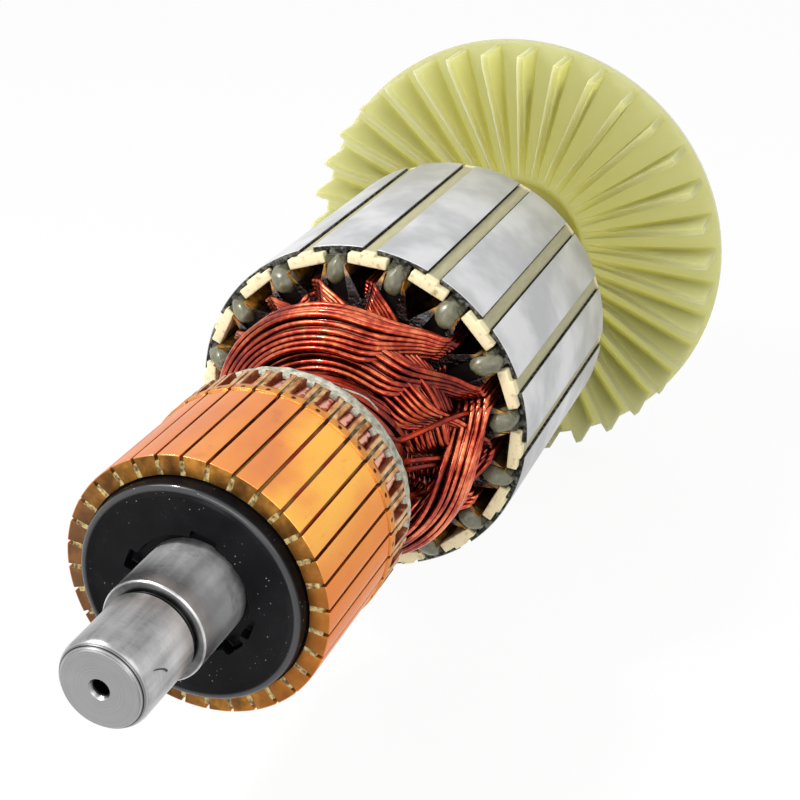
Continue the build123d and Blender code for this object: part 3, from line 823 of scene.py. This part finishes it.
bpy.ops.object.mode_set(mode="OBJECT")
bar_up = Vector((0, -sin(radians(BAR_PHASE)), cos(radians(BAR_PHASE))))
bar_across = Vector((0, -cos(radians(BAR_PHASE)), -sin(radians(BAR_PHASE))))
bar_places = [(vertex.co.dot(bar_up), vertex.co.dot(bar_across)) for vertex in bar.data.vertices]
for number in range(BARS):
    label = f"{number + 1:02d}"
    twin = bar.copy()
    twin.data = bar.data.copy()
    bpy.context.scene.collection.objects.link(twin)
    chance = Random(300 + number)
    leaning = chance.uniform(-LEAN, LEAN)
    for vertex, (high, wide) in zip(twin.data.vertices, bar_places):
        along = (vertex.co.x / MM - STAKED_FROM) / (STAKED_TO - STAKED_FROM)
        if 0 < along < 1 and high > LEAN_FROM * MM:
            staked = sin(pi * along) ** 0.7 * (high / MM - LEAN_FROM) / LEAN_HEIGHT
            shift = leaning * staked
            dip = -DIP * (1 - sin(pi * along)) * chance.random()
            vertex.co += (bar_across * shift + bar_up * dip) * MM
        outward = bar_across if wide > 0 else -bar_across
        if high > TOP_FROM * MM and abs(wide) > SIDE_FROM * MM:
            vertex.co += outward * SIDE_SPREAD * MM
        elif high > TOP_FROM * MM and 0 < along < 1:
            peak = 1 - abs(2 * along - 1)
            thinned = THINNED - LESS_AT_MIDDLE * peak + THINNED_BY_CHANCE * chance.random()
            vertex.co += outward * thinned * MM
            vertex.co.x += SET_BACK * MM * max(0.0, 1 - max(0.0, along - 0.05) / 0.4)
    round_axis(twin, number * BAR_PITCH)
    finished(twin, f"bar_{label}", bar_finish, [f"commutator_bar_{label}"])
bpy.data.objects.remove(bar)

# Mica: thin olive-brown sheet between every two bars, sawn back below the brush track and left
# standing between the risers, where its layers fray.
mica_finish = Finish("mica_sheet", Roughness=0.6)
flakes = mica_finish.noise(500, 5, stretch=(1, 3, 3))
copper_dust = mica_finish.step(mica_finish.noise(120, 2), 0.4, 0.6)
front_end = 1 - mica_finish.past(mica_finish.x, 17.0, 17.4)
past_track = mica_finish.past(mica_finish.x, 36.5, 36.8)
burnt_end = 1 - mica_finish.past(mica_finish.x, 37.5, 37.9)
mica_low = mica_finish.blend(copper_dust, (0.42, 0.22, 0.035), (0.46, 0.03, 0.006))
layered = mica_finish.step(flakes, 0.35, 0.65)
mica_front = mica_finish.blend(layered, (0.08, 0.04, 0.008), (0.5, 0.38, 0.14))
frayed = mica_finish.step(flakes, 0.36, 0.64)
mica_raised = mica_finish.blend(frayed, (0.035, 0.02, 0.006), (0.3, 0.22, 0.09))
mica_high = mica_finish.blend(burnt_end, mica_raised, (0.012, 0.004, 0.002))
by_track = mica_finish.blend(front_end, mica_low, mica_front)
mica_finish.set(Base_Color=mica_finish.blend(past_track, by_track, mica_high))
mica_finish.bump(flakes, 0.6, 0.08)
finished(merged_copy("mica_segments"), "mica_sheets", mica_finish, ["mica_segments"])

# Leads: the wire ends, two to a riser, pressed into the saw slot and fused there by a hot
# electrode, so that bare pink copper shows beside the last of the enamel. Behind the risers
# they run on under the binding to the coils, and four of them cross over loose.
FUSED_RADIUS, FUSED_TO = 16.6, 42.6
LEAD_GAP = 3.6
lead_finish = Finish("fused_leads", Metallic=0.92, Coat_Weight=0.4, Coat_Roughness=0.08)
off_lead = lead_finish.turn(BAR_PHASE).math("WRAP", BAR_PITCH / 2, -BAR_PITCH / 2)
ragged = lead_finish.noise(900, 3)
bare = 1 - lead_finish.step(off_lead + (ragged - 0.5) * 7, 0.2, 1.4)
lighter = lead_finish.step(lead_finish.noise(260, 3), 0.35, 0.65)
lead_red = lead_finish.blend(lighter, (0.16, 0.008, 0.003), (0.56, 0.055, 0.015))
in_riser = 1 - lead_finish.past(lead_finish.x, 42.4, 43.0)
lead_tone = lead_finish.blend(bare * in_riser, lead_red, (0.82, 0.42, 0.3))
# Behind the band the leads are painted near black in crevices, found by ambient occlusion: painted shade.
crevice_shade = 1 - lead_finish.step(lead_finish.openness(3.0), 0.25, 1.0)
in_crevice_shade = crevice_shade * lead_finish.past(lead_finish.x, 42.9, 46)
lead_finish.set(
    Base_Color=lead_finish.blend(in_crevice_shade, lead_tone, (0.05, 0.002, 0.001)),
    Roughness=bare * 0.1 + 0.3,
)
lead_finish.bump(ragged, 0.4, 0.1)
leads = merged_copy("coil_leads")
eased(leads, 0.3, 3)
for vertex in leads.data.vertices:
    radial = Vector((0, vertex.co.y, vertex.co.z))
    if radial.length > FUSED_RADIUS * MM and vertex.co.x < FUSED_TO * MM:
        turn = degrees(atan2(-vertex.co.y, vertex.co.z)) - BAR_PHASE
        off_middle = (turn + BAR_PITCH / 2) % BAR_PITCH - BAR_PITCH / 2
        vertex.co = Matrix.Rotation(radians(off_middle * 1.1), 3, "X") @ vertex.co
        vertex.co += radial.normalized() * (0.85 + 0.35 * noise.noise(vertex.co * 600)) * MM
lead_curve = wire_bundle("lead_runs", WIRE, 1)
chance = Random(77)
for number, inner in product(range(BARS), (0, 1)):
    begin = BAR_PHASE + BAR_PITCH * number + (inner - 0.5) * LEAD_GAP
    drift = chance.uniform(-5, 5)
    run = [
        (44.6, 16.3 - inner * 0.4, begin), (46.4, 16.2 - inner * 0.6, begin + 2),
        (48.6, 15.4 - inner, begin + 16 + drift), (52.0, 14.2 - inner, begin + 42 + drift),
        (56.0, 13.0 - inner, begin + 72 + drift), (60.0, 12.0 - inner, begin + 96 + drift),
    ]
    run = [(x, radius + chance.uniform(-0.25, 0.25), radians(angle)) for x, radius, angle in run]
    lay_strand(lead_curve, run, 4)
# Points of x, radius and degrees from the top.
LOOSE_WIRES = [
    [
        (46.0, 16.4, 50), (50.0, 15.4, 61), (55.0, 13.2, 70.4),
        (60.0, 16.0, 72.5), (66.0, 19.2, 74.1), (68.5, 19.8, 78),
    ],
    [
        (46.0, 16.4, 62), (50.0, 15.2, 74), (55.0, 13.1, 84.2),
        (60.0, 15.5, 90.5), (64.0, 17.6, 95.1), (67.5, 17.4, 99),
    ],
    [
        (46.0, 16.4, 66), (50.0, 15.2, 79), (55.0, 13.1, 89.9),
        (60.0, 15.5, 94.5), (64.0, 17.8, 97.7), (67.5, 17.6, 102),
    ],
    [(46.0, 16.4, 88), (50.0, 15.4, 98), (56.0, 14.2, 108.4), (59.0, 15.8, 110.6), (63.0, 15.6, 116)],
]
for run in LOOSE_WIRES:
    lay_strand(lead_curve, [(x, radius, radians(angle)) for x, radius, angle in run], 5)
joined(leads, strands_mesh("lead_runs", lead_curve))
finished(leads, "wire_leads", lead_finish, ["coil_leads"])

# Binding: a few turns of cord drawn tight behind the risers and soaked in grey resin, which
# sets hard and lumpy and holds the leads against the speed. One end of the cord stands free.
BAND_STEPS = [
    (42.78, 17.65), (42.85, 17.95), (43.3, 18.0), (43.9, 17.9), (44.3, 17.98), (44.9, 17.9),
    (45.5, 17.95), (46.0, 17.8), (46.1, 17.65), (42.78, 17.65),
]
CORD_END = [
    (45.9, 17.8, 26), (46.3, 18.0, 30), (46.9, 18.2, 35), (47.4, 18.1, 40), (47.8, 17.6, 44),
]
CORD_THICKNESS = 0.26
band_finish = Finish("resin_cord", Roughness=0.75)
crust = band_finish.noise(750, 6, roughness=0.7)
crust_tone = band_finish.ramp(
    crust, (0.3, (0.1, 0.1, 0.065)), (0.48, (0.4, 0.39, 0.3)), (0.66, (0.66, 0.65, 0.55))
)
band_finish.set(Base_Color=crust_tone)
band_finish.bump(crust, 0.8, 0.15)
band = turned(BAND_STEPS, 160, "band")
for vertex in band.data.vertices:
    push = 0.16 * noise.noise(vertex.co * 700) + 0.1 * noise.noise(vertex.co * 2300)
    radial = Vector((0, vertex.co.y, vertex.co.z))
    vertex.co += radial.normalized() * (push - 0.08) * MM
cord_curve = wire_bundle("cord_end", CORD_THICKNESS, 1)
lay_strand(cord_curve, [(x, radius, radians(angle)) for x, radius, angle in CORD_END], 6)
joined(band, strands_mesh("cord_end", cord_curve))
finished(band, "cord_band", band_finish, ["lead_band"], smooth=60)

# Fan: one moulding of unfilled nylon on the drive side of the core, milky yellow-green and
# slightly see-through, with thirty-six straight blades in front of its disc.
nylon = Finish(
    "fan_nylon", Roughness=0.5, Subsurface_Weight=1.0, Subsurface_Scale=28 * MM,
    Subsurface_Radius=(1.0, 0.95, 0.4), Specular_IOR_Level=0.25,
)
near_core = 1 - nylon.past(nylon.radius(), 22.0, 40.0)
milky = nylon.blend(nylon.noise(60, 3), (0.268, 0.262, 0.1), (0.328, 0.32, 0.138))
nylon.set(Base_Color=nylon.blend(near_core * 0.6, milky, (0.29, 0.265, 0.05)))
nylon.bump(nylon.noise(400, 2), 0.05, 0.05)
fan = merged_copy("fan")
eased(fan, 0.3)
finished(fan, "fan_moulding", nylon, ["fan"])

# Studio: white paper under and all round, soft lamps above and to the left, and the camera that
# looks down along the shaft from the commutator end.
FLOOR_HEIGHT = -41.3
bpy.ops.mesh.primitive_plane_add(size=40, location=(100 * MM, 0, FLOOR_HEIGHT * MM))
floor = bpy.context.active_object
floor.name = "studio_floor"
floor_finish = Finish("floor_paper", Roughness=0.9, Base_Color=(0.86, 0.86, 0.86))


def seen(tree):
    """1 for what the camera, a mirror or glass sees, and 0 for the light that falls on the object."""
    path = tree.nodes.new("ShaderNodeLightPath")
    straight = Signal(tree, path.outputs["Is Camera Ray"])
    by_mirror = Signal(tree, path.outputs["Is Glossy Ray"])
    by_glass = Signal(tree, path.outputs["Is Transmission Ray"])
    return straight.math("MAXIMUM", by_mirror).math("MAXIMUM", by_glass)


white = floor_finish.node("ShaderNodeEmission", {}, {"Color": (1, 1, 1), "Strength": 1.0})
lit = Signal(floor_finish.tree, floor_finish.shader.outputs[0])
mixed = {0: seen(floor_finish.tree) * 0.93, 1: lit, 2: white}
paper = floor_finish.node("ShaderNodeMixShader", {}, mixed)
surface = floor_finish.tree.nodes["Material Output"].inputs["Surface"]
floor_finish.tree.links.new(paper.socket, surface)
floor.data.materials.append(floor_finish.material)

surround = bpy.data.worlds.new("studio")
surround.use_nodes = True
bpy.context.scene.world = surround
sky = surround.node_tree
background = sky.nodes["Background"]
background.inputs["Color"].default_value = (1, 1, 1, 1)
feed(sky, background.inputs["Strength"], seen(sky) * 0.3 + 0.7)


def lamp(name, place, target, size, power):
    """A square soft lamp aimed at a point, with places in millimetres."""
    light = bpy.data.lights.new(name, "AREA")
    light.size = size * MM
    light.energy = power
    body = placed(name, light)
    body.location = Vector(place) * MM
    body.rotation_euler = (Vector(target) * MM - body.location).to_track_quat("-Z", "Y").to_euler()


lamp("key_lamp", (-150, 260, 380), (70, 0, 0), 260, 1.0)
lamp("fill_lamp", (-260, -320, 260), (60, 0, 0), 320, 0.5)
lamp("glint_lamp", (-60, 150, 260), (62, 0, 15), 30, 0.5)
lamp("front_lamp", (-420, 40, 60), (0, 0, 0), 220, 0.5)

# The camera's place in millimetres and the directions of its frame.
EYE_PLACE = Vector((-125.2, -81.6, 102.0))
RIGHT = Vector((0.357005, -0.934101, 0.0))
UP = Vector((0.398137, 0.152162, 0.904618))
FORWARD = Vector((0.845006, 0.322953, -0.426219))
eye = bpy.data.cameras.new("photo_camera")
eye.lens = 68.3
eye.sensor_width = 36
eye.clip_start = 5 * MM
camera = placed("photo_camera", eye)
camera_turn = Matrix((RIGHT, UP, -FORWARD)).transposed().to_4x4()
camera.matrix_world = Matrix.Translation(EYE_PLACE * MM) @ camera_turn
bpy.context.scene.camera = camera
bpy.context.scene.view_settings.view_transform = "Standard"

bpy.context.view_layer.update()
